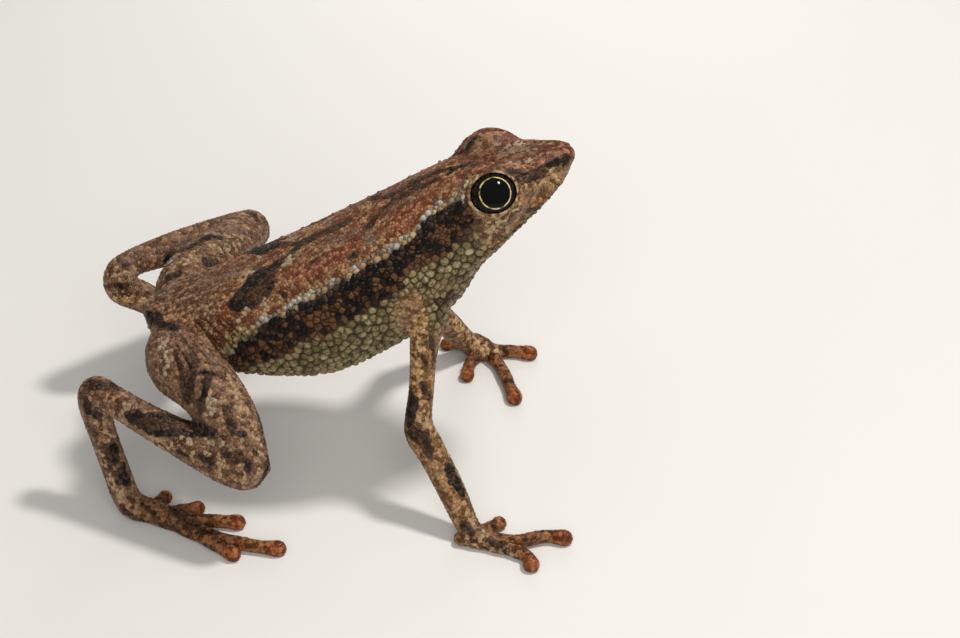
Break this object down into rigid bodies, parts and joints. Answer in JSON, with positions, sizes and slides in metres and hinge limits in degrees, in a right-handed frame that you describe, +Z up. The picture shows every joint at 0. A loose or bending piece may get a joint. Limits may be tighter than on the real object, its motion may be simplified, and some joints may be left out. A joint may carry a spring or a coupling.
{
  "type": "bromeliad toad",
  "caption": "Life-size still model of a small slender bromeliad toad, standing on long thin legs with its head held high.",
  "frame": {"origin": "on the floor, under the middle of the whole animal's box", "axes": "+X is ahead, where the snout points, +Y is to the animal's left, +Z is up"},
  "size_m": [0.0262, 0.0238, 0.0189],
  "materials": {
    "skin": "fine granular skin, slightly moist satin, brown with dark and pale marks",
    "eye": "wet gloss, near black with a thin gold ring"
  },
  "bodies": {
    "root": {"head": "skin", "torso": "skin", "upper_arm_r": "skin", "forearm_r": "skin", "hand_r": "skin", "upper_arm_l": "skin", "forearm_l": "skin", "hand_l": "skin", "thigh_r": "skin", "shank_r": "skin", "tarsus_r": "skin", "foot_r": "skin", "thigh_l": "skin", "shank_l": "skin", "tarsus_l": "skin", "foot_l": "skin", "eye_r": "eye", "eye_l": "eye"}
  },
  "joints": []
}
